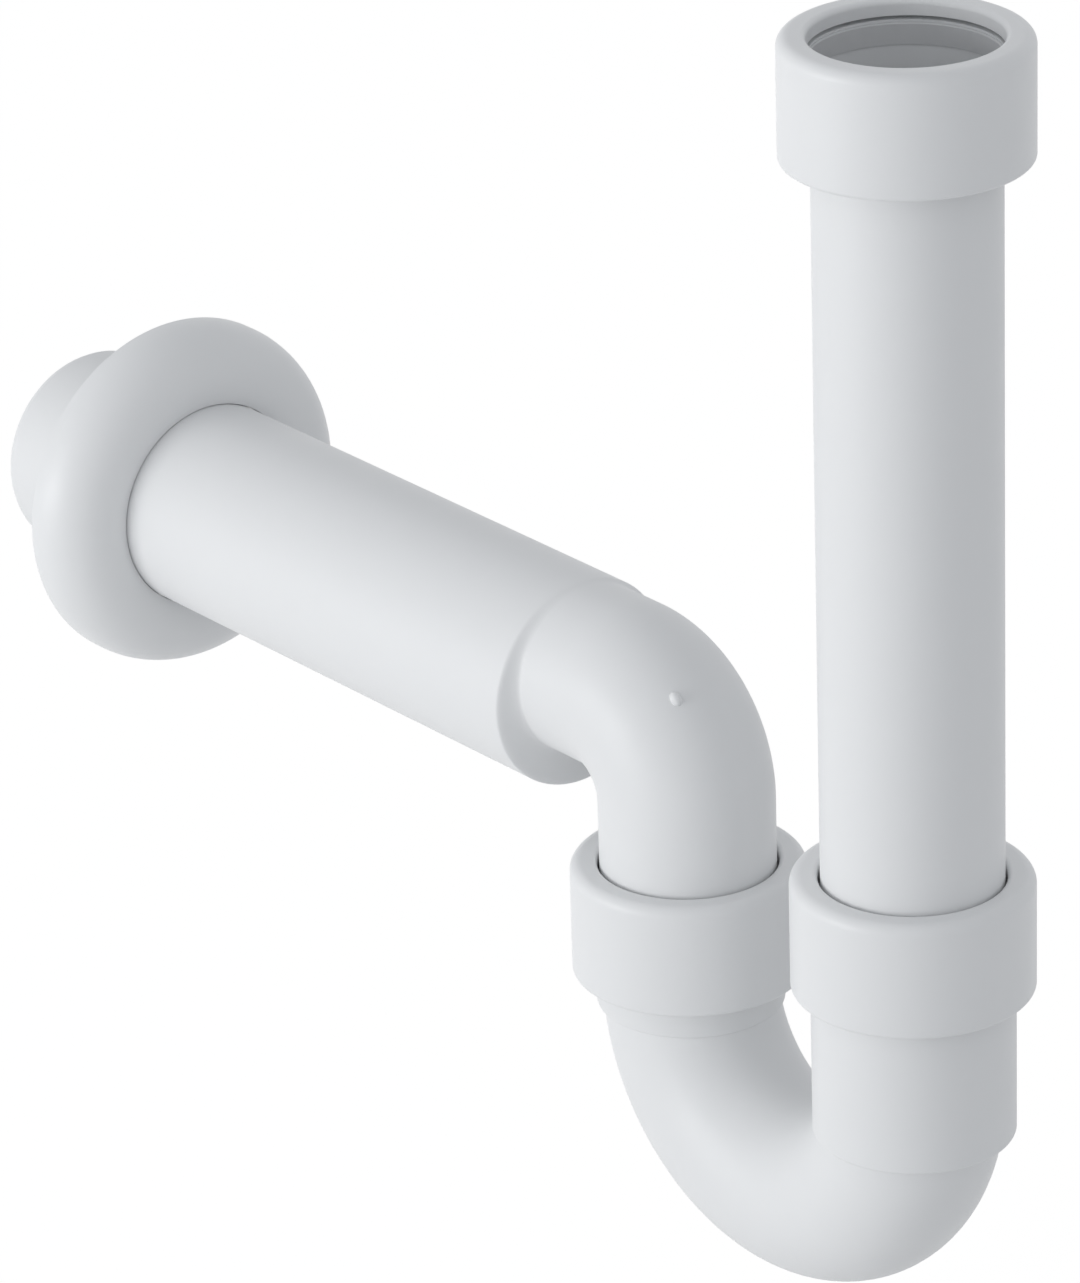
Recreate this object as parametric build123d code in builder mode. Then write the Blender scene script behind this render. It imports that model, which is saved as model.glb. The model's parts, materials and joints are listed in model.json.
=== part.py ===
"""Tubular trap for a sink: inlet pipe, U-bend, outlet bend with wall spigot, and a wall rosette.

Frame: +Z is up, +Y runs from the inlet towards the wall, X = 0 is the trap's mid-plane.
The origin lies on the inlet axis, on the ledge in the inlet pipe's socket where a tail pipe seats.
All sizes are in millimetres.
"""

import os
from math import acos, cos, degrees, radians, sin

from build123d import *

# Pipes
pipe_radius = 20.0
pipe_wall = 2.0
pipe_end_bevel = 1.2
outlet_radius = 25.0
outlet_wall = 2.3
outlet_length = 189.0
outlet_draft = 0.25
outlet_end_bevel = 1.6
spigot_length = 34.0

# Sockets that take a pipe end
socket_clearance = 0.3
socket_wall = 2.1
socket_edge = 0.5
mouth_flare = 1.1
mouth_flare_depth = 2.6
ledge_wall = 3.5
inlet_socket_depth = 16.0
inlet_socket_cone = 3.0
trap_socket_depth = 46.5
trap_socket_skirt = 8.7
trap_socket_round = 0.8
outlet_socket_depth = 18.4
outlet_neck = 1.0
outlet_collar_wall = 3.4
outlet_collar_skirt = 4.9
outlet_collar_round = 0.4

# Compression joint: nut, thrust ring and wedge seal
thread_depth = 1.48
thread_clearance = 0.25
nut_wall = 2.62
nut_height = 27.0
nut_lip = 3.5
nut_lip_gap = 0.5
nut_top_round = 2.6
nut_skirt_round = 1.0
nut_hole_round = 1.2
nut_lead_in = 0.8
ring_thickness = 1.3
ring_relief = 0.8
ring_relief_width = 2.4
ring_gap = 0.45
ring_side_gap = 0.4
seal_stand = 2.2
seal_pipe_gap = 0.05
seal_cone_gap = 0.1
seal_side_gap = 0.6
seat_gap = 0.05

# Lie of the pieces
trap_drop = 191.1
pipe_insertion = 28.0
bend_radius = 37.5
outlet_rise = 21.8
elbow_throat = 1.0
elbow_run = 15.0
crown_step = 0.2
shoulder_bevel = 4.2
shoulder_bevel_run = 3.5

# Gate mark on the outlet bend
gate_radius = 1.4
gate_height = 1.0
gate_draft = 35.0
gate_bend_angle = 47.0
gate_side_angle = 22.0

# Wall rosette
rosette_gap = 0.2
rosette_wall = 2.0
rosette_crown_width = 4.7
rosette_dome = 12.9
rosette_skirt = 2.0
rosette_setback = 35.0

# Radii that follow
pipe_bore = pipe_radius - pipe_wall
outlet_bore = outlet_radius - outlet_wall
socket_bore = pipe_radius + socket_clearance
socket_radius = socket_bore + socket_wall
mouth_radius = socket_bore + mouth_flare
collar_radius = pipe_bore + outlet_collar_wall
nut_bore = socket_radius + thread_depth + thread_clearance
nut_radius = nut_bore + nut_wall
nut_hole = pipe_radius + nut_lip_gap
shoulder_radius = outlet_radius - outlet_draft
elbow_radius = pipe_radius + elbow_throat
leg_spacing = 2 * bend_radius

# Heights and stations that follow
nut_top = seal_stand + seat_gap + ring_thickness + seat_gap + nut_lip
inlet_mouth_z = inlet_socket_depth
trap_mouth_z = inlet_mouth_z - trap_drop
bend_z = trap_mouth_z - trap_socket_depth
outlet_ledge_z = bend_z + outlet_neck + ledge_wall
outlet_mouth_z = outlet_ledge_z + outlet_socket_depth
elbow_z = outlet_mouth_z + outlet_rise
elbow_axis_z = elbow_z + elbow_radius
outlet_axis_z = elbow_axis_z + pipe_radius + crown_step - shoulder_radius
elbow_end_y = leg_spacing + elbow_radius
shoulder_y = elbow_end_y + elbow_run
bore_start_y = shoulder_y + shoulder_bevel_run + outlet_wall
outlet_end_y = shoulder_y + outlet_length

compression_joints = {
    "inlet": (0.0, inlet_mouth_z),
    "trap_inlet": (0.0, trap_mouth_z),
    "trap_outlet": (leg_spacing, outlet_mouth_z),
}


def upright_section(y: float, z: float) -> Plane:
    """Section plane of an upright axis: x runs outwards from the axis, y runs up from height z."""
    return Plane(origin=(0, y, z), x_dir=(1, 0, 0), z_dir=(0, -1, 0))


def upright_axis(y: float) -> Axis:
    return Axis((0, y, 0), (0, 0, 1))


outlet_section = Plane.XY.offset(outlet_axis_z)
outlet_axis = Axis((0, 0, outlet_axis_z), (0, 1, 0))

os.makedirs("parts", exist_ok=True)

# Inlet pipe: plain pipe with a moulded socket at its top
with BuildPart() as inlet_pipe:
    pipe_end = trap_mouth_z - pipe_insertion
    socket_floor = -pipe_wall / 2
    with BuildSketch(upright_section(0, 0)):
        with BuildLine():
            Polyline(
                (pipe_bore, pipe_end),
                (pipe_radius - pipe_end_bevel, pipe_end),
                (pipe_radius, pipe_end + 2 * pipe_end_bevel),
                (pipe_radius, socket_floor - inlet_socket_cone),
                (socket_radius, socket_floor),
                (socket_radius, inlet_mouth_z - socket_edge),
                (socket_radius - socket_edge, inlet_mouth_z),
                (mouth_radius, inlet_mouth_z),
                (socket_bore, inlet_mouth_z - mouth_flare_depth),
                (socket_bore, 0),
                (pipe_bore, 0),
                close=True,
            )
        make_face()
    revolve(axis=upright_axis(0))
inlet_pipe.part.label = "inlet_pipe"
export_step(inlet_pipe.part, "parts/inlet_pipe.step")

# Trap bend: half turn of pipe with a deep socket on the inlet leg and a short one on the outlet leg
with BuildPart() as trap_bend:
    half_turn = Axis((0, bend_radius, bend_z), (1, 0, 0))
    sockets = (
        (0.0, trap_mouth_z, bend_z, trap_socket_depth + trap_socket_skirt),
        (leg_spacing, outlet_mouth_z, outlet_ledge_z, outlet_socket_depth),
    )
    with BuildSketch(Plane.XY.offset(bend_z)):
        Circle(pipe_radius)
    revolve(axis=half_turn, revolution_arc=180)
    with BuildSketch(Plane.XY.offset(bend_z)):
        with Locations((0, leg_spacing)):
            Circle(pipe_radius)
    extrude(amount=outlet_neck + ledge_wall / 2)
    for y, mouth_z, ledge_z, length in sockets:
        with BuildSketch(upright_section(y, mouth_z)) as socket_blank:
            Rectangle(socket_radius, length, align=(Align.MIN, Align.MAX))
            outer_corners = socket_blank.vertices().group_by(Axis.X)[-1].sort_by(Axis.Y)
            fillet(outer_corners[0], trap_socket_round)
            chamfer(outer_corners[-1], socket_edge)
        revolve(axis=upright_axis(y))
    with BuildSketch(upright_section(leg_spacing, outlet_ledge_z)) as collar_blank:
        collar_length = outlet_ledge_z - bend_z + outlet_collar_skirt
        Rectangle(collar_radius, collar_length, align=(Align.MIN, Align.MAX))
        fillet(collar_blank.vertices().group_by(Axis.X)[-1].sort_by(Axis.Y)[0], outlet_collar_round)
    revolve(axis=upright_axis(leg_spacing))
    with BuildSketch(Plane.XY.offset(bend_z)):
        Circle(pipe_bore)
    revolve(axis=half_turn, revolution_arc=180, mode=Mode.SUBTRACT)
    with BuildSketch(Plane.XY.offset(bend_z)):
        with Locations((0, leg_spacing)):
            Circle(pipe_bore)
    extrude(amount=outlet_neck + ledge_wall, mode=Mode.SUBTRACT)
    for y, mouth_z, ledge_z, length in sockets:
        with BuildSketch(upright_section(y, mouth_z)):
            with BuildLine():
                Polyline(
                    (0, 0),
                    (mouth_radius, 0),
                    (socket_bore, -mouth_flare_depth),
                    (socket_bore, ledge_z - mouth_z),
                    (0, ledge_z - mouth_z),
                    close=True,
                )
            make_face()
        revolve(axis=upright_axis(y), mode=Mode.SUBTRACT)
trap_bend.part.label = "trap_bend"
export_step(trap_bend.part, "parts/trap_bend.step")

# Outlet bend: upright leg, tight elbow, and a wider wall spigot hung from the elbow's crown
with BuildPart() as outlet_bend:
    leg_end = outlet_ledge_z + seat_gap
    quarter_turn = Axis((0, elbow_end_y, elbow_z), (-1, 0, 0))
    bore_plane = Plane(
        origin=(0, bore_start_y, outlet_axis_z), x_dir=(-1, 0, 0), z_dir=(0, 1, 0)
    )
    elbow_plane = Plane(origin=(0, elbow_end_y, elbow_axis_z), x_dir=(-1, 0, 0), z_dir=(0, 1, 0))
    leg_plane = Plane(origin=(0, leg_spacing, leg_end))
    bend_plane = Plane(origin=(0, leg_spacing, elbow_z))
    with BuildSketch(outlet_section):
        with BuildLine():
            Polyline(
                (0, shoulder_y),
                (shoulder_radius - shoulder_bevel, shoulder_y),
                (shoulder_radius, shoulder_y + shoulder_bevel_run),
                (outlet_radius, outlet_end_y - spigot_length),
                (outlet_radius, outlet_end_y - outlet_end_bevel),
                (outlet_radius - outlet_end_bevel / 2, outlet_end_y),
                (0, outlet_end_y),
                close=True,
            )
        make_face()
    revolve(axis=outlet_axis)
    with BuildSketch(leg_plane):
        Circle(pipe_radius)
    extrude(amount=elbow_z - leg_end)
    chamfer(outlet_bend.edges().sort_by(Axis.Z)[0], pipe_end_bevel)
    with BuildSketch(bend_plane):
        Circle(pipe_radius)
    revolve(axis=quarter_turn, revolution_arc=90)
    with BuildSketch(elbow_plane):
        Circle(pipe_radius)
    extrude(amount=bore_start_y - elbow_end_y)

    # Waterway
    with BuildSketch(leg_plane):
        Circle(pipe_bore)
    extrude(amount=elbow_z - leg_end, mode=Mode.SUBTRACT)
    with BuildSketch(bend_plane):
        Circle(pipe_bore)
    revolve(axis=quarter_turn, revolution_arc=90, mode=Mode.SUBTRACT)
    with BuildSketch(elbow_plane):
        Circle(pipe_bore)
    extrude(amount=bore_start_y - elbow_end_y, mode=Mode.SUBTRACT)
    with BuildSketch(bore_plane):
        Circle(outlet_bore)
    extrude(amount=outlet_length, mode=Mode.SUBTRACT)

    # Gate mark, standing square to the elbow's skin
    along = radians(gate_bend_angle)
    around = radians(gate_side_angle)
    skin_normal = Vector(-sin(around), -cos(around) * cos(along), cos(around) * sin(along))
    ring_centre = Vector(0, elbow_end_y - elbow_radius * cos(along), elbow_z + elbow_radius * sin(along))
    with BuildSketch(Plane(origin=ring_centre + skin_normal * (pipe_radius - gate_height), z_dir=skin_normal)):
        Circle(gate_radius)
    extrude(amount=2 * gate_height, taper=gate_draft / 2)
outlet_bend.part.label = "outlet_bend"
export_step(outlet_bend.part, "parts/outlet_bend.step")

# Wall rosette: thin domed ring, open towards the wall, loose on the spigot
with BuildPart() as wall_rosette:
    rosette_back_y = outlet_end_y - rosette_setback
    rosette_hole = outlet_radius + rosette_gap
    dome_centre = rosette_hole + rosette_crown_width
    rosette_radius = dome_centre + rosette_dome
    inner_dome = rosette_dome - rosette_wall
    outer_sweep = degrees(acos(-rosette_crown_width / rosette_dome))
    inner_sweep = degrees(acos(-rosette_crown_width / inner_dome))
    dome_base_y = rosette_back_y - rosette_skirt
    with BuildSketch(outlet_section):
        with BuildLine():
            outer_skirt = Line((rosette_radius, rosette_back_y), (rosette_radius, dome_base_y))
            outer_arc = CenterArc((dome_centre, dome_base_y), rosette_dome, 0, -outer_sweep)
            inner_arc = CenterArc((dome_centre, dome_base_y), inner_dome, 0, -inner_sweep)
            Line(outer_arc @ 1, inner_arc @ 1)
            inner_skirt = Line(inner_arc @ 0, (rosette_radius - rosette_wall, rosette_back_y))
            Line(inner_skirt @ 1, outer_skirt @ 0)
        make_face()
    revolve(axis=outlet_axis)
wall_rosette.part.label = "wall_rosette"
export_step(wall_rosette.part, "parts/wall_rosette.step")

# Nut, thrust ring and seal of each compression joint, measured up from the socket's mouth
for joint, (y, mouth_z) in compression_joints.items():
    with BuildPart() as nut:
        lip_under = nut_top - nut_lip
        skirt_end = nut_top - nut_height
        with BuildSketch(upright_section(y, mouth_z)):
            with BuildLine():
                Polyline(
                    (nut_hole, nut_top),
                    (nut_radius, nut_top),
                    (nut_radius, skirt_end),
                    (nut_bore + nut_lead_in, skirt_end),
                    (nut_bore, skirt_end + nut_lead_in),
                    (nut_bore, lip_under),
                    (nut_hole, lip_under),
                    close=True,
                )
            make_face()
        revolve(axis=upright_axis(y))
        outer_rims = nut.edges().filter_by(GeomType.CIRCLE).group_by(SortBy.RADIUS)[-1].sort_by(Axis.Z)
        hole_rims = nut.edges().filter_by(GeomType.CIRCLE).group_by(SortBy.RADIUS)[0].sort_by(Axis.Z)
        fillet(outer_rims[-1], nut_top_round)
        fillet(outer_rims[0], nut_skirt_round)
        fillet(hole_rims[-1], nut_hole_round)
    nut.part.label = f"{joint}_nut"
    export_step(nut.part, f"parts/{joint}_nut.step")

    with BuildPart() as thrust_ring:
        ring_under = seal_stand + seat_gap
        ring_top = ring_under + ring_thickness
        ring_hole = pipe_radius + ring_gap
        with BuildSketch(upright_section(y, mouth_z)):
            with BuildLine():
                Polyline(
                    (ring_hole, ring_under),
                    (nut_bore - ring_side_gap, ring_under),
                    (nut_bore - ring_side_gap, ring_top),
                    (ring_hole + ring_relief_width, ring_top),
                    (ring_hole + ring_relief_width, ring_top - ring_relief),
                    (ring_hole, ring_top - ring_relief),
                    close=True,
                )
            make_face()
        revolve(axis=upright_axis(y))
    thrust_ring.part.label = f"{joint}_thrust_ring"
    export_step(thrust_ring.part, f"parts/{joint}_thrust_ring.step")

    with BuildPart() as seal:
        seal_hole = pipe_radius + seal_pipe_gap
        with BuildSketch(upright_section(y, mouth_z)):
            with BuildLine():
                Polyline(
                    (seal_hole, seal_stand),
                    (nut_bore - seal_side_gap, seal_stand),
                    (nut_bore - seal_side_gap, seat_gap),
                    (mouth_radius - seal_cone_gap, seat_gap),
                    (socket_bore - seal_cone_gap, -mouth_flare_depth),
                    (seal_hole, -mouth_flare_depth),
                    close=True,
                )
            make_face()
        revolve(axis=upright_axis(y))
    seal.part.label = f"{joint}_seal"
    export_step(seal.part, f"parts/{joint}_seal.step")
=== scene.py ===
import json
import math

import bpy
from mathutils import Matrix, Vector


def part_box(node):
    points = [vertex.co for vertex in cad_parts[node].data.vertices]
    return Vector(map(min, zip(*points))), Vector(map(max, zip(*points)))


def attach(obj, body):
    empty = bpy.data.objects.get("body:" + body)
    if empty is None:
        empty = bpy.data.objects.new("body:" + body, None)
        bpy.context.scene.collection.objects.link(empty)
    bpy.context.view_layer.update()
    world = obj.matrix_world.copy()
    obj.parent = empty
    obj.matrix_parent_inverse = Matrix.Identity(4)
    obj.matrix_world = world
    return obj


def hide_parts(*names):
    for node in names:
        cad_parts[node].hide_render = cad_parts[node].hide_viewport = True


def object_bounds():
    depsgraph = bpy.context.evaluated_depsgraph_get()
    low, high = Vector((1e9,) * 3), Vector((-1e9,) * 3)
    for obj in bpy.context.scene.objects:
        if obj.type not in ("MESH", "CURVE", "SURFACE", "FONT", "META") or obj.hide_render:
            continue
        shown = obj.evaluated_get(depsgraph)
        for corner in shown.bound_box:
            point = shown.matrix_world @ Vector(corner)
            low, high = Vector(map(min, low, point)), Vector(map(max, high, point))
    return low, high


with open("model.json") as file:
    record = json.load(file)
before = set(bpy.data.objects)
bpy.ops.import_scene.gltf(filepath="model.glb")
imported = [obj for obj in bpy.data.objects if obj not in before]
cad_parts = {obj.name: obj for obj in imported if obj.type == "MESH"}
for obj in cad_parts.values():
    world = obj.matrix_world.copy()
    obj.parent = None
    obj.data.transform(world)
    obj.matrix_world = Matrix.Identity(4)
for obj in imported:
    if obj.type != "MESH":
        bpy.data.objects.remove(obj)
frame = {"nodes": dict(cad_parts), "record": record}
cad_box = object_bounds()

MM = 0.001

# The compression joints, from the top down the waterway: joint name and the body that carries its socket
JOINTS = {"inlet": "inlet", "trap_inlet": "trap", "trap_outlet": "trap"}

# Screw thread of the nuts and sockets, a 55 degree pipe thread
THREAD_PITCH = 2 * math.pi * frame["record"]["behaviour"]["couplings"][0]["ratio"]
THREAD_FLANK = math.tan(math.radians(27.5))
THREAD_HEIGHT = 1.35 * MM
THREAD_CREST = 0.5 * MM
THREAD_SINK = 0.06 * MM
THREAD_STEPS = 60
SOCKET_RADIUS = 22.4 * MM
SOCKET_THREAD = 11.5 * MM
SOCKET_THREAD_TOP = 1.6 * MM
NUT_BORE = 24.13 * MM
NUT_THREAD_BOTTOM = 2.0 * MM

# Wedge seal in each socket's mouth: a cone below the mouth and a flange on it
SEAL_STAND = 2.2 * MM
SEAL_SEAT = 0.05 * MM
SEAL_HOLE = 20.05 * MM
SEAL_TOE = 20.2 * MM
SEAL_CONE = 21.30 * MM
SEAL_FLANGE = 22.6 * MM
SEAL_EDGE = 0.3 * MM

# Outlet bend: pipe leg, elbow and run, the shoulder and the wider wall spigot. The shoulder's rounded edge
# is a share of its length, and the crown step is how far the shoulder's top stands over the run's
PIPE_RADIUS = 20.0 * MM
PIPE_BORE = 18.0 * MM
PIPE_BEVEL = 1.2 * MM
ELBOW_RADIUS = 21.0 * MM
ELBOW_RUN = 12.2 * MM
SHOULDER_LENGTH = 2.8 * MM
SHOULDER_ROUND = 0.18
SHOULDER_RADIUS = 24.75 * MM
CROWN_STEP = 0.2 * MM
SPIGOT_RADIUS = 25.0 * MM
SPIGOT_BORE = 22.7 * MM
SPIGOT_LENGTH = 34.0 * MM
SPIGOT_BEVEL = 1.6 * MM
BORE_START = 3.5 * MM
EDGE_BAND = 0.6 * MM
RING_STEPS = 128
ELBOW_STEPS = 30
SHOULDER_STEPS = 12
ROUND_STEPS = 8
SHARP_TURN = math.radians(32.0)
LEVEL = math.pi / 2

# Gate mark on the elbow: its bearings round the bend and the pipe, its radii and heights in millimetres
GATE_ALONG = math.radians(47.0)
GATE_AROUND = math.radians(22.0)
GATE_PROFILE = [(1.45, -0.4), (1.25, 0.35), (1.05, 0.95), (0.75, 1.3), (0.35, 1.45)]
GATE_STRETCH = 1.35
GATE_STEPS = 32

# Fine lip in the rosette's hole, measured from the rosette's front
ROSETTE_HOLE = 25.2 * MM
LIP_START = 1.6 * MM
LIP_LENGTH = 1.0 * MM
LIP_GAP = 0.04 * MM
LIP_SINK = 0.3 * MM

# Finishes: pale and deep shade of each plastic, and of the rubber where the talc is thin and thick
PIPE_WHITE = ((0.798, 0.806, 0.810, 1.0), (0.776, 0.784, 0.789, 1.0))
RING_WHITE = ((0.755, 0.765, 0.770, 1.0), (0.725, 0.736, 0.742, 1.0))
RUBBER_GREY = ((0.575, 0.582, 0.590, 1.0), (0.635, 0.641, 0.647, 1.0))

# Texture of the plastics: patterns a metre, shares of the colour and depths of the relief
CLOUD_SCALE = 22.0
FLOW_SCALE = 140.0
GRAIN_SCALE = 2600.0
SINK_SCALE = 45.0
CLOUD_SHARE = 0.7
FLOW_SHARE = 0.3
FLOW_GLOSS = 0.10
GRAIN_GLOSS = 0.06
SINK_STRENGTH = 0.25
SINK_DEPTH = 0.06 * MM
GRAIN_STRENGTH = 0.35
PLASTIC_IOR = 1.49
PLASTIC_SHINE = 0.42

# Texture of the rubber
TALC_SCALE = 320.0
RUBBER_GRAIN_SCALE = 3000.0
RUBBER_GRAIN_STRENGTH = 0.4
RUBBER_GRAIN_DEPTH = 0.03 * MM
RUBBER_ROUGHNESS = 0.55
TALC_ROUGHNESS = 0.3

# Camera: the photograph's viewpoint, in the part's frame
VIEW_AZIMUTH = math.radians(-38.73)
VIEW_ELEVATION = math.radians(24.51)
VIEW_ROLL = math.radians(-1.88)
VIEW_TARGET = Vector((-72.97, 34.67, -102.07)) * MM
VIEW_DISTANCE = 1411.2 * MM
VIEW_FOCAL_PIXELS = 6754.4
FRAME_HEIGHT_PIXELS = 1283
SENSOR = 36.0

# Stage and light
FLOOR_DROP = 22.0 * MM
FLOOR_SIZE = 8.0
FLOOR_PAINT = (0.86, 0.86, 0.86, 1.0)
FLOOR_WHITE = 1.03
FLOOR_SHADOW = 0.06
WORLD_FILL = 0.63
OVERHEAD_DIP = 0.20
OVERHEAD_POWER = 8.0
WORLD_TINT = (0.965, 0.985, 1.02, 1.0)
KEY_BEARING = math.radians(67.0)
KEY_DISTANCE = 1.6
KEY_SIZE = 1.1
KEY_POWER = 15.5
WHITE = (1.0, 1.0, 1.0, 1.0)


class Wire:
    """A value in a shader tree: arithmetic on wires adds Math nodes to that tree."""

    def __init__(self, paint, socket):
        self.paint = paint
        self.socket = socket

    def math(self, operation, a, b):
        return self.paint.node("ShaderNodeMath", {"operation": operation}, {0: a, 1: b})["Value"]

    def __add__(self, other):
        return self.math("ADD", self, other)

    __radd__ = __add__

    def __sub__(self, other):
        return self.math("SUBTRACT", self, other)

    def __rsub__(self, other):
        return self.math("SUBTRACT", other, self)

    def __mul__(self, other):
        return self.math("MULTIPLY", self, other)

    __rmul__ = __mul__

    def __pow__(self, other):
        return self.math("POWER", self, other)

    def __rpow__(self, other):
        return self.math("POWER", other, self)


class Paint:
    """The node tree of one material or world."""

    def __init__(self, owner):
        owner.use_nodes = True
        self.tree = owner.node_tree
        self.tree.nodes.clear()

    def node(self, kind, settings=(), inputs=()):
        """Adds a node, sets it up, feeds its sockets and returns its outputs by name."""
        node = self.tree.nodes.new(kind)
        for name, value in dict(settings).items():
            setattr(node, name, value)
        open_inputs = [socket for socket in node.inputs if socket.enabled]
        for key, value in dict(inputs).items():
            named = [socket for socket in open_inputs if socket.name == key]
            socket = named[0] if named else open_inputs[key]
            if isinstance(value, Wire):
                self.tree.links.new(value.socket, socket)
            else:
                socket.default_value = value
        return {output.name: Wire(self, output) for output in node.outputs if output.enabled}

    def noise(self, place, scale, detail=2.0):
        inputs = {"Vector": place, "Scale": scale, "Detail": detail}
        return self.node("ShaderNodeTexNoise", {}, inputs)["Fac"]

    def blend(self, factor, one, other):
        """Mixes two colours by a wire."""
        mixed = self.node("ShaderNodeMix", {"data_type": "RGBA"}, {"Factor": factor, "A": one, "B": other})
        return mixed["Result"]

    def bump(self, height, strength, distance, under=()):
        """A relief from a wire, over another relief if one is given."""
        inputs = {"Strength": strength, "Distance": distance, "Height": height, **dict(under)}
        return self.node("ShaderNodeBump", {}, inputs)["Normal"]

    def surface(self, shader):
        self.node("ShaderNodeOutputMaterial", {}, {"Surface": shader})


def moulded_plastic(name, pale, deep, roughness, grain_depth):
    """Moulded satin plastic: faint clouding of the colour, uneven gloss and a fine eroded-mould grain."""
    material = bpy.data.materials.new(name)
    paint = Paint(material)
    place = paint.node("ShaderNodeTexCoord")["Object"]
    clouding = paint.noise(place, CLOUD_SCALE, detail=3.0)
    flow = paint.noise(place, FLOW_SCALE)
    grain = paint.noise(place, GRAIN_SCALE)
    sink = paint.noise(place, SINK_SCALE, detail=1.0)
    gloss = roughness + (flow - 0.5) * FLOW_GLOSS + (grain - 0.5) * GRAIN_GLOSS
    waves = paint.bump(sink, SINK_STRENGTH, SINK_DEPTH)
    look = {
        "Base Color": paint.blend(clouding * CLOUD_SHARE + flow * FLOW_SHARE, pale, deep),
        "Roughness": gloss,
        "Normal": paint.bump(grain, GRAIN_STRENGTH, grain_depth, {"Normal": waves}),
        "IOR": PLASTIC_IOR,
        "Specular IOR Level": PLASTIC_SHINE,
    }
    paint.surface(paint.node("ShaderNodeBsdfPrincipled", {}, look)["BSDF"])
    return material


def seal_rubber():
    """Soft pale grey moulded rubber, dusty with talc in places."""
    material = bpy.data.materials.new("seal_rubber")
    paint = Paint(material)
    place = paint.node("ShaderNodeTexCoord")["Object"]
    talc = paint.noise(place, TALC_SCALE, detail=4.0)
    grain = paint.noise(place, RUBBER_GRAIN_SCALE)
    look = {
        "Base Color": paint.blend(talc, *RUBBER_GREY),
        "Roughness": RUBBER_ROUGHNESS + talc * TALC_ROUGHNESS,
        "Normal": paint.bump(grain, RUBBER_GRAIN_STRENGTH, RUBBER_GRAIN_DEPTH),
    }
    paint.surface(paint.node("ShaderNodeBsdfPrincipled", {}, look)["BSDF"])
    return material


def dress(name, material):
    """Gives a solid its finish."""
    mesh = frame["nodes"][name].data
    mesh.materials.clear()
    mesh.materials.append(material)


def new_piece(name, vertices, faces, material, body, slot):
    """A smooth mesh piece that moves with a body and takes the given material as its finish."""
    mesh = bpy.data.meshes.new(name)
    mesh.from_pydata(vertices, [], faces)
    mesh.materials.append(material)
    for face in mesh.polygons:
        face.use_smooth = True
    mesh.update()
    piece = bpy.data.objects.new(name, mesh)
    bpy.context.scene.collection.objects.link(piece)
    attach(piece, body)
    return piece


def ring(centre, across, over, radius, steps):
    """Points round a centre, from one direction towards another."""
    turns = [2 * math.pi * step / steps for step in range(steps)]
    return [centre + radius * (math.cos(turn) * across + math.sin(turn) * over) for turn in turns]


def ring_faces(first, second, steps):
    """The band of quads between two rings, given by their first points' numbers."""
    following = [(step + 1) % steps for step in range(steps)]
    return [(first + a, first + b, second + b, second + a) for a, b in enumerate(following)]


def shoulder_profile():
    """The shoulder as shares of its length and of its step: ever steeper, then over a rounded edge."""
    flare_end = 1.0 - SHOULDER_ROUND
    round_length = (1.0 - flare_end**2) / flare_end
    profile = []
    for step in range(SHOULDER_STEPS + 1):
        along = flare_end * step / SHOULDER_STEPS
        profile.append((along, along**2))
    for step in range(1, ROUND_STEPS + 1):
        share = step / ROUND_STEPS
        out = flare_end**2 + flare_end * round_length * share * (2.0 - share)
        profile.append((flare_end + round_length * share, out))
    return profile


def spigot_level():
    """Height of the wall spigot's axis."""
    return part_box("outlet_bend")[1].z - SPIGOT_RADIUS


def run_level():
    """Height of the axis of the elbow's run, whose crown is nearly level with the spigot's."""
    return spigot_level() + SHOULDER_RADIUS - CROWN_STEP - PIPE_RADIUS


def elbow_centre():
    """Where the elbow's bend turns about, in the mid-plane."""
    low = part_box("outlet_bend")[0]
    return Vector((0.0, low.y + PIPE_RADIUS + ELBOW_RADIUS, run_level() - ELBOW_RADIUS))


def elbow_axis():
    """Places on the elbow's axis with their tilts, from its foot to its level end."""
    centre = elbow_centre()
    places = []
    for step in range(ELBOW_STEPS + 1):
        tilt = LEVEL * step / ELBOW_STEPS
        y = centre.y - ELBOW_RADIUS * math.cos(tilt)
        z = centre.z + ELBOW_RADIUS * math.sin(tilt)
        places.append((y, z, tilt))
    return places


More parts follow.
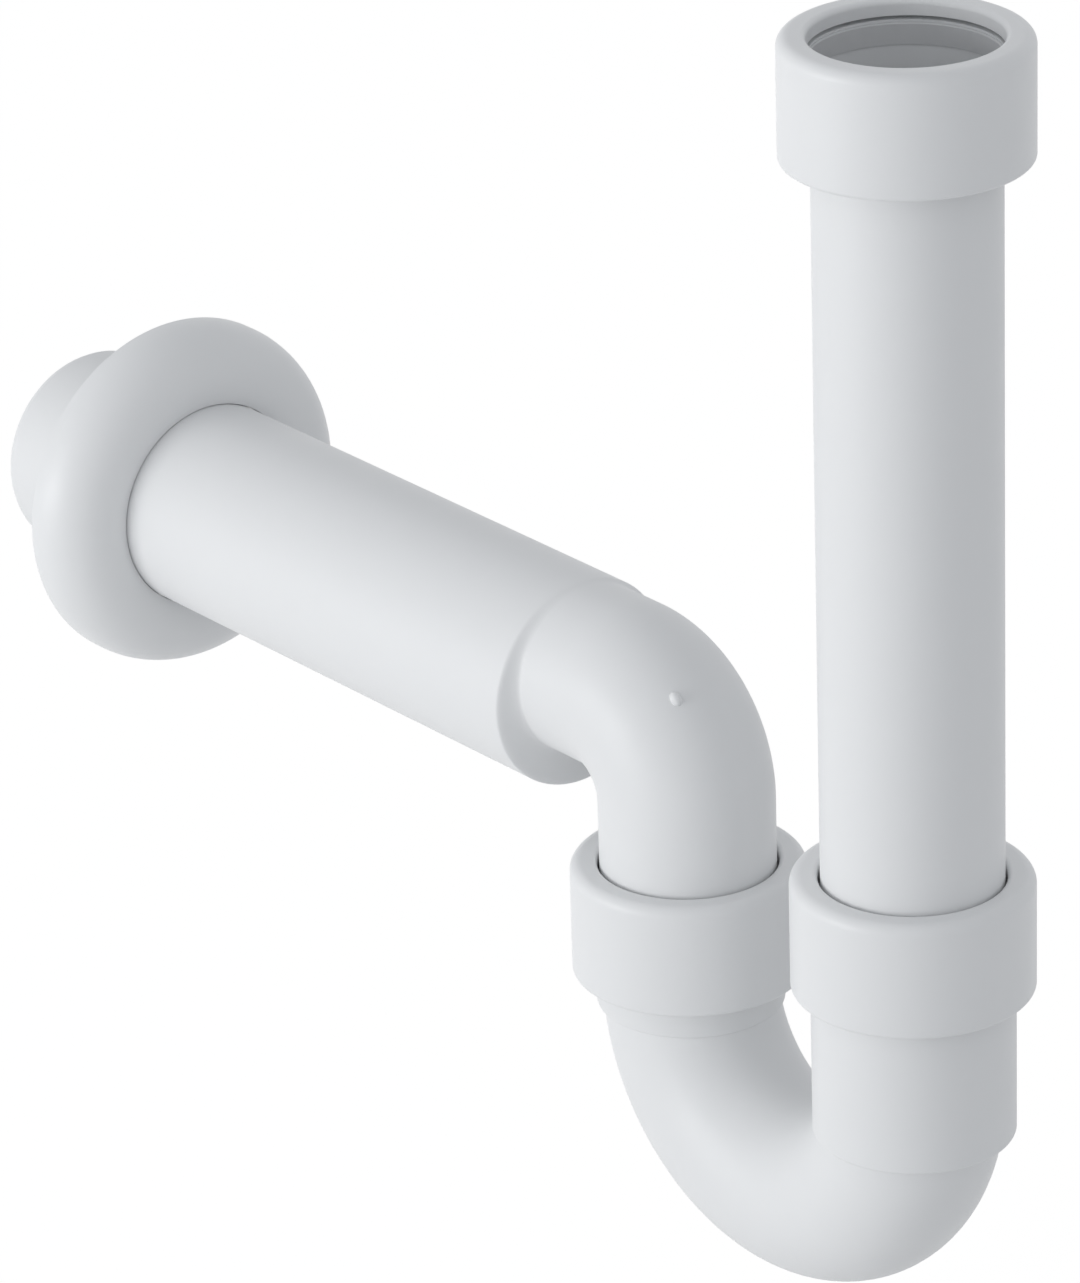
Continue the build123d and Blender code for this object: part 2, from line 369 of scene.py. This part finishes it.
def outlet_stations():
    """Sections of the outlet bend's skin: place in the mid-plane, tilt from upright and radius.

    They run up the outside from the leg's foot to the spigot's end, and back down the waterway.
    """
    low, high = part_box("outlet_bend")
    leg_y = low.y + PIPE_RADIUS
    shoulder_start = elbow_centre().y + ELBOW_RUN
    shoulder_end = shoulder_start + SHOULDER_LENGTH
    spigot_axis = spigot_level()
    run_axis = run_level()
    elbow = elbow_axis()
    outside = [(leg_y, low.z, 0.0, PIPE_RADIUS - PIPE_BEVEL), (leg_y, low.z + PIPE_BEVEL, 0.0, PIPE_RADIUS)]
    outside += [(y, z, tilt, PIPE_RADIUS) for y, z, tilt in elbow]
    for along, out in shoulder_profile():
        axis = run_axis + out * (spigot_axis - run_axis)
        radius = PIPE_RADIUS + out * (SHOULDER_RADIUS - PIPE_RADIUS)
        outside.append((shoulder_start + along * SHOULDER_LENGTH, axis, LEVEL, radius))
    bevel_start = high.y - SPIGOT_BEVEL
    pipe = [
        (shoulder_end + 2 * EDGE_BAND, SHOULDER_RADIUS),
        (high.y - SPIGOT_LENGTH, SPIGOT_RADIUS),
        (bevel_start - EDGE_BAND, SPIGOT_RADIUS),
        (bevel_start, SPIGOT_RADIUS),
        (high.y, SPIGOT_RADIUS - SPIGOT_BEVEL / 2),
    ]
    outside += [(y, spigot_axis, LEVEL, radius) for y, radius in pipe]
    bore_start = shoulder_end + BORE_START
    waterway = [(high.y, spigot_axis, LEVEL, SPIGOT_BORE), (bore_start, spigot_axis, LEVEL, SPIGOT_BORE)]
    waterway.append((bore_start, run_axis, LEVEL, PIPE_BORE))
    waterway += [(y, z, tilt, PIPE_BORE) for y, z, tilt in reversed(elbow)]
    waterway.append((leg_y, low.z, 0.0, PIPE_BORE))
    return outside + waterway


def hollow_skin(stations):
    """Closed skin through round sections in the mid-plane, from the last one back to the first."""
    across = Vector((1.0, 0.0, 0.0))
    vertices = []
    for y, z, tilt, radius in stations:
        over = Vector((0.0, math.cos(tilt), -math.sin(tilt)))
        vertices += ring(Vector((0.0, y, z)), across, over, radius, RING_STEPS)
    count = len(vertices)
    faces = []
    for first in range(0, count, RING_STEPS):
        faces += ring_faces(first, (first + RING_STEPS) % count, RING_STEPS)
    return vertices, faces


def hollow_piece(name, stations, material, body, slot):
    """A piece of round sections, smooth but for its sharp turns."""
    piece = new_piece(name, *hollow_skin(stations), material, body, slot)
    piece.data.set_sharp_from_angle(angle=SHARP_TURN)
    return piece


def gate_mark():
    """Rounded oval stub where the moulding's gate was cut, standing square to the elbow."""
    outward = Vector((0.0, -math.cos(GATE_ALONG), math.sin(GATE_ALONG)))
    axis = elbow_centre() + outward * ELBOW_RADIUS
    normal = outward * math.cos(GATE_AROUND) - Vector((math.sin(GATE_AROUND), 0.0, 0.0))
    lengthwise = Vector((0.0, math.sin(GATE_ALONG), math.cos(GATE_ALONG)))
    sideways = normal.cross(lengthwise)
    across = lengthwise * GATE_STRETCH
    vertices = []
    for radius, height in GATE_PROFILE:
        centre = axis + normal * (PIPE_RADIUS + height * MM)
        vertices += ring(centre, across, sideways, radius * MM, GATE_STEPS)
    faces = [tuple(reversed(range(GATE_STEPS)))]
    last = len(vertices) - GATE_STEPS
    for first in range(0, last, GATE_STEPS):
        faces += ring_faces(first, first + GATE_STEPS, GATE_STEPS)
    faces.append(tuple(range(last, last + GATE_STEPS)))
    return vertices, faces


def outlet_bend(plastic):
    """The outlet bend's moulding, with the shoulder's hollow foot and rounded rim."""
    skin = hollow_piece("outlet_bend_skin", outlet_stations(), plastic, "outlet", "pipe_plastic")
    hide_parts("outlet_bend")
    new_piece("gate_mark", *gate_mark(), plastic, "outlet", "pipe_plastic")


def rosette_lip(plastic):
    """Fine lip in the rosette's hole, which runs close on the spigot."""
    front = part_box("wall_rosette")[0].y + LIP_START
    back = front + LIP_LENGTH
    outer = ROSETTE_HOLE + LIP_SINK
    inner = SPIGOT_RADIUS + LIP_GAP
    section = [(front, outer), (back, outer), (back, inner), (front, inner)]
    stations = [(y, spigot_level(), LEVEL, radius) for y, radius in section]
    hollow_piece("rosette_lip", stations, plastic, "rosette", "rosette_plastic")


def wedge_seals(rubber):
    """Wedge seals, with flanges that the nuts' threads can pass."""
    bodies = frame["record"]["behaviour"]["bodies"]
    for joint in JOINTS:
        node = f"{joint}_seal"
        low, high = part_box(node)
        y = (low.y + high.y) / 2
        seat = high.z - SEAL_STAND + SEAL_SEAT
        edge = high.z - SEAL_EDGE
        section = [
            (SEAL_TOE, low.z),
            (SEAL_CONE, seat),
            (SEAL_FLANGE, seat),
            (SEAL_FLANGE, edge),
            (SEAL_FLANGE - SEAL_EDGE, high.z),
            (SEAL_HOLE + SEAL_EDGE, high.z),
            (SEAL_HOLE, edge),
            (SEAL_HOLE, low.z),
        ]
        stations = [(y, z, 0.0, radius) for radius, z in section]
        body = next(name for name, members in bodies.items() if node in members)
        wedge = hollow_piece(f"{joint}_wedge", stations, rubber, body, "seal_rubber")
        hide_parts(node)


def helix_ridge(y, bottom, top, root, rise, phase):
    """Closed ridge of a right-hand thread round an upright axis, run out to nothing at both ends.

    root is the radius that it stands on, and rise its height: outwards if positive, inwards if negative.
    """
    height = abs(rise)
    sign = math.copysign(1.0, rise)
    crest = THREAD_CREST / 2
    foot = crest + height * THREAD_FLANK
    section = [(-THREAD_SINK, -foot), (height, -crest), (height, crest), (-THREAD_SINK, foot)]
    turns = (top - bottom - 2 * foot) / THREAD_PITCH
    steps = round(turns * THREAD_STEPS)
    vertices = []
    for step in range(steps + 1):
        turned = step / THREAD_STEPS
        run_in = min(1.0, 4 * turned, 4 * (turns - turned))
        angle = 2 * math.pi * (turned + phase)
        centre = bottom + foot + turned * THREAD_PITCH
        for out, along in section:
            reach = out * run_in if out > 0 else out
            radius = root + sign * reach
            vertices.append((radius * math.cos(angle), y + radius * math.sin(angle), centre + along))
    corners = len(section)
    faces = []
    for step in range(steps):
        for corner in range(corners):
            following = (corner + 1) % corners
            quad = [
                step * corners + corner,
                step * corners + following,
                (step + 1) * corners + following,
                (step + 1) * corners + corner,
            ]
            faces.append(quad[::-1] if sign > 0 else quad)
    first = list(range(corners))
    last = [steps * corners + corner for corner in range(corners)]
    faces.append(first if sign > 0 else first[::-1])
    faces.append(last[::-1] if sign > 0 else last)
    return vertices, faces


def screw_threads(plastic):
    """Threads on the sockets and in the nuts, half a pitch apart so that they mesh."""
    for joint, carrier in JOINTS.items():
        seal_low, seal_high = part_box(f"{joint}_seal")
        nut_low, nut_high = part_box(f"{joint}_nut")
        y = (nut_low.y + nut_high.y) / 2
        mouth = seal_high.z - SEAL_STAND
        top = mouth - SOCKET_THREAD_TOP
        bottom = top - SOCKET_THREAD
        ridge = helix_ridge(y, bottom, top, SOCKET_RADIUS, THREAD_HEIGHT, 0.0)
        new_piece(f"{joint}_socket_thread", *ridge, plastic, carrier, "pipe_plastic")
        nut_bottom = nut_low.z + NUT_THREAD_BOTTOM
        pitches = (nut_bottom - bottom) / THREAD_PITCH
        ridge = helix_ridge(y, nut_bottom, mouth, NUT_BORE, -THREAD_HEIGHT, pitches + 0.5)
        new_piece(f"{joint}_nut_thread", *ridge, plastic, f"{joint}_nut", "nut_plastic")


def white_to_camera(paint):
    """1 where a ray comes straight from the camera, a reflection or glass, 0 elsewhere."""
    path = paint.node("ShaderNodeLightPath")
    seen = path["Is Camera Ray"] + path["Is Glossy Ray"] + path["Is Transmission Ray"]
    return seen.math("MINIMUM", seen, 1.0)


def floor():
    """Pale floor under the hanging trap: white to the camera, with a trace of the shadow."""
    low = cad_box[0][2] - FLOOR_DROP
    half = FLOOR_SIZE / 2
    mesh = bpy.data.meshes.new("floor")
    corners = [(-half, -half, low), (half, -half, low), (half, half, low), (-half, half, low)]
    mesh.from_pydata(corners, [], [(0, 1, 2, 3)])
    material = bpy.data.materials.new("floor")
    paint = Paint(material)
    matt = paint.node("ShaderNodeBsdfDiffuse", {}, {"Color": FLOOR_PAINT})["BSDF"]
    white = paint.node("ShaderNodeEmission", {}, {"Color": WHITE, "Strength": FLOOR_WHITE})["Emission"]
    whiteness = white_to_camera(paint) * (1.0 - FLOOR_SHADOW)
    mixed = paint.node("ShaderNodeMixShader", {}, {0: whiteness, 1: matt, 2: white})["Shader"]
    paint.surface(mixed)
    mesh.materials.append(material)
    piece = bpy.data.objects.new("floor", mesh)
    bpy.context.scene.collection.objects.link(piece)


def world_light():
    """Even light from all round, weaker straight overhead, and plain white to the camera."""
    world = bpy.data.worlds.new("studio")
    bpy.context.scene.world = world
    paint = Paint(world)
    seen = white_to_camera(paint)
    direction = paint.node("ShaderNodeTexCoord")["Generated"]
    height = paint.node("ShaderNodeSeparateXYZ", {}, {"Vector": direction})["Z"]
    overhead = height.math("MAXIMUM", height, 0.0) ** OVERHEAD_POWER
    fill = WORLD_FILL - OVERHEAD_DIP * overhead
    inputs = {"Color": paint.blend(seen, WORLD_TINT, WHITE), "Strength": fill + seen * (1.0 - fill)}
    back = paint.node("ShaderNodeBackground", {}, inputs)["Background"]
    paint.node("ShaderNodeOutputWorld", {}, {"Surface": back})


def view_axes():
    """Right, up and back of the photograph's camera."""
    back = Vector(
        (
            math.sin(VIEW_AZIMUTH) * math.cos(VIEW_ELEVATION),
            -math.cos(VIEW_AZIMUTH) * math.cos(VIEW_ELEVATION),
            math.sin(VIEW_ELEVATION),
        )
    )
    level = Vector((math.cos(VIEW_AZIMUTH), math.sin(VIEW_AZIMUTH), 0.0))
    upright = back.cross(level)
    right = level * math.cos(VIEW_ROLL) + upright * math.sin(VIEW_ROLL)
    up = upright * math.cos(VIEW_ROLL) - level * math.sin(VIEW_ROLL)
    return right, up, back


def aimed(axis_right, axis_up, axis_back, place):
    """The placing of a camera or lamp with these axes."""
    turn = Matrix((axis_right, axis_up, axis_back)).transposed().to_4x4()
    return Matrix.Translation(place) @ turn


def key_light():
    """One broad soft lamp, level with the trap on the camera's left."""
    bearing = VIEW_AZIMUTH - KEY_BEARING
    away = Vector((math.sin(bearing), -math.cos(bearing), 0.0))
    aim = (cad_box[0] + cad_box[1]) / 2
    lamp = bpy.data.lights.new("key", "AREA")
    lamp.shape = "DISK"
    lamp.size = KEY_SIZE
    lamp.energy = KEY_POWER
    piece = bpy.data.objects.new("key", lamp)
    bpy.context.scene.collection.objects.link(piece)
    side = Vector((0.0, 0.0, 1.0)).cross(away).normalized()
    piece.matrix_world = aimed(side, away.cross(side), away, aim + away * KEY_DISTANCE)


def camera():
    """The photograph's camera."""
    right, up, back = view_axes()
    lens = bpy.data.cameras.new("camera")
    lens.sensor_width = SENSOR
    lens.lens = VIEW_FOCAL_PIXELS / FRAME_HEIGHT_PIXELS * SENSOR
    piece = bpy.data.objects.new("camera", lens)
    bpy.context.scene.collection.objects.link(piece)
    piece.matrix_world = aimed(right, up, back, VIEW_TARGET + back * VIEW_DISTANCE)
    bpy.context.scene.camera = piece


pipe_plastic = moulded_plastic("pipe_plastic", *PIPE_WHITE, roughness=0.46, grain_depth=0.020 * MM)
nut_plastic = moulded_plastic("nut_plastic", *PIPE_WHITE, roughness=0.42, grain_depth=0.014 * MM)
rosette_plastic = moulded_plastic("rosette_plastic", *PIPE_WHITE, roughness=0.40, grain_depth=0.012 * MM)
ring_plastic = moulded_plastic("ring_plastic", *RING_WHITE, roughness=0.50, grain_depth=0.020 * MM)
rubber = seal_rubber()
finishes = {
    "pipe_plastic": pipe_plastic,
    "nut_plastic": nut_plastic,
    "rosette_plastic": rosette_plastic,
    "ring_plastic": ring_plastic,
    "seal_rubber": rubber,
}
for subpart in frame["record"]["subparts"]:
    dress(subpart["node"], finishes[subpart["material_slot"]])
outlet_bend(pipe_plastic)
rosette_lip(rosette_plastic)
wedge_seals(rubber)
screw_threads(pipe_plastic)
floor()
world_light()
key_light()
camera()
bpy.context.scene.view_settings.view_transform = "Standard"
